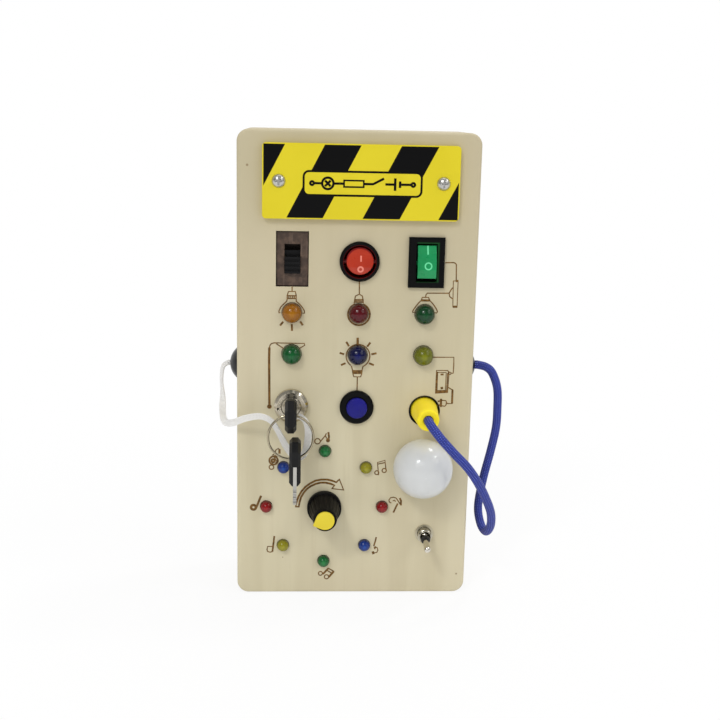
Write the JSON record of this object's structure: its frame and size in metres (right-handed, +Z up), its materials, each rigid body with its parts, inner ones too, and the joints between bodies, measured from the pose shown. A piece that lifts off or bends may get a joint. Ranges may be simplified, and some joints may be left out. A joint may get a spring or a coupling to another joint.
{
  "type": "busy board",
  "caption": "Upright wooden busy board with lever, slide, rocker, push and rotary switches, a key lock with keys on a lace, a plug on a cord, indicator lamps and a round bulb.",
  "frame": {"origin": "centre of the box's flat base", "axes": "+Z up, front face towards -Y, +X to the right as seen from the front"},
  "size_m": [0.1257, 0.0669, 0.2],
  "materials": {
    "front_wood": "pale lime wood, sanded, unvarnished",
    "frame_wood": "pale solid wood, sanded",
    "back_wood": "pale plywood, sanded",
    "steel": "zinc-plated screw steel",
    "chrome": "polished chrome plate",
    "plate": "yellow gloss acrylic",
    "phenolic": "mottled brown phenolic sheet",
    "black_plastic": "black moulded plastic, satin",
    "red_paddle": "translucent red plastic",
    "green_paddle": "translucent green plastic",
    "blue_cap": "blue plastic",
    "spring": "spring wire",
    "grip": "black key grip",
    "plug_yellow": "yellow lacquered bead",
    "cord_blue": "blue braided cord",
    "lace_white": "white flat lace",
    "milk": "milky diffuser plastic",
    "base_white": "white lamp base",
    "knob_black": "black knob plastic",
    "pointer_yellow": "yellow pointer cap",
    "lens_orange": "orange lamp lens",
    "lens_crimson": "dark red lamp lens",
    "lens_forest": "dark green lamp lens",
    "lens_green": "green lamp lens",
    "lens_blue": "blue lamp lens",
    "lens_olive": "olive lamp lens",
    "lens_small_blue": "blue lamp lens",
    "lens_small_green": "green lamp lens",
    "lens_small_gold": "yellow lamp lens",
    "lens_small_red": "red lamp lens",
    "battery_plastic": "black battery box",
    "cell": "plain battery cell"
  },
  "bodies": {
    "board": {"front_panel": "front_wood", "box_frame": "frame_wood", "back_panel": "back_wood", "back_screws": "steel", "sign_plate": "plate", "sign_screws": "steel", "slide_switch_body": "phenolic", "round_rocker_housing": "black_plastic", "square_rocker_housing": "black_plastic", "push_button_housing": "black_plastic", "push_button_spring": "spring", "push_button_nut": "black_plastic", "lock_barrel": "chrome", "lock_nut": "chrome", "plug_socket": "black_plastic", "plug_cord": "cord_blue", "cord_outlet": "black_plastic", "key_lace": "lace_white", "lace_outlet": "black_plastic", "bulb_globe": "milk", "bulb_base": "base_white", "toggle_body": "chrome", "toggle_washer": "steel", "rotary_body": "steel", "rotary_nut": "steel", "lamp_orange": "lens_orange", "lamp_crimson": "lens_crimson", "lamp_forest": "lens_forest", "lamp_green": "lens_green", "lamp_blue": "lens_blue", "lamp_olive": "lens_olive", "small_lamp_0": "lens_small_blue", "small_lamp_1": "lens_small_green", "small_lamp_2": "lens_small_gold", "small_lamp_3": "lens_small_red", "small_lamp_4": "lens_small_blue", "small_lamp_5": "lens_small_green", "small_lamp_6": "lens_small_gold", "small_lamp_7": "lens_small_red", "battery_tray": "battery_plastic", "battery_cells": "cell", "battery_lid": "battery_plastic", "battery_lid_screw": "steel"},
    "slider": {"slide_switch_slider": "black_plastic"},
    "round_paddle": {"round_rocker_paddle": "red_paddle"},
    "square_paddle": {"square_rocker_paddle": "green_paddle"},
    "button": {"push_button_cap": "blue_cap"},
    "key": {"lock_cylinder": "chrome", "key_blade": "steel", "key_grip": "grip"},
    "ring": {"key_ring": "chrome"},
    "spare_key": {"spare_key_blade": "steel", "spare_key_grip": "grip"},
    "plug": {"plug_body": "plug_yellow", "plug_pin": "steel"},
    "lever": {"toggle_lever": "chrome", "toggle_sleeve": "black_plastic"},
    "knob": {"rotary_shaft": "steel", "knob_body": "knob_black", "knob_pointer": "pointer_yellow"}
  },
  "joints": [
    {"name": "slide_travel", "type": "slide", "parent": "board", "child": "slider", "axis": [0, 0, 1], "range_m": [0, 0.005]},
    {"name": "round_rocker_tilt", "type": "hinge", "parent": "board", "child": "round_paddle", "pos_m": [0.0007, -0.0195, 0.147], "axis": [1, 0, 0], "range_deg": [0, 18]},
    {"name": "square_rocker_tilt", "type": "hinge", "parent": "board", "child": "square_paddle", "pos_m": [0.0285, -0.0195, 0.147], "axis": [1, 0, 0], "range_deg": [0, 18]},
    {"name": "button_press", "type": "slide", "parent": "board", "child": "button", "axis": [0, 1, 0], "range_m": [0, 0.0015], "stiffness_N_per_m": 150, "springref_m": -0.002, "deforming": ["push_button_spring"]},
    {"name": "key_turn", "type": "hinge", "parent": "board", "child": "key", "pos_m": [-0.0271, -0.02, 0.0853], "axis": [0, 1, 0], "range_deg": [0, 90], "deforming": ["key_lace"]},
    {"name": "ring_swing", "type": "hinge", "parent": "key", "child": "ring", "pos_m": [-0.0271, -0.0341, 0.0846], "axis": [-1, 0, 0], "range_deg": [-8, 100]},
    {"name": "spare_key_swing", "type": "hinge", "parent": "ring", "child": "spare_key", "pos_m": [-0.0271, -0.0341, 0.0658], "axis": [-1, 0, 0], "range_deg": [-9, 90]},
    {"name": "plug_pull", "type": "slide", "parent": "board", "child": "plug", "axis": [0, -1, 0], "range_m": [0, 0.02], "deforming": ["plug_cord"]},
    {"name": "toggle_flip", "type": "hinge", "parent": "board", "child": "lever", "pos_m": [0.0316, -0.0225, 0.0277], "axis": [-1, 0, 0], "range_deg": [0, 24]},
    {"name": "knob_turn", "type": "hinge", "parent": "board", "child": "knob", "pos_m": [-0.0124, -0.02, 0.04], "axis": [0, 1, 0], "range_deg": [0, 315]}
  ]
}
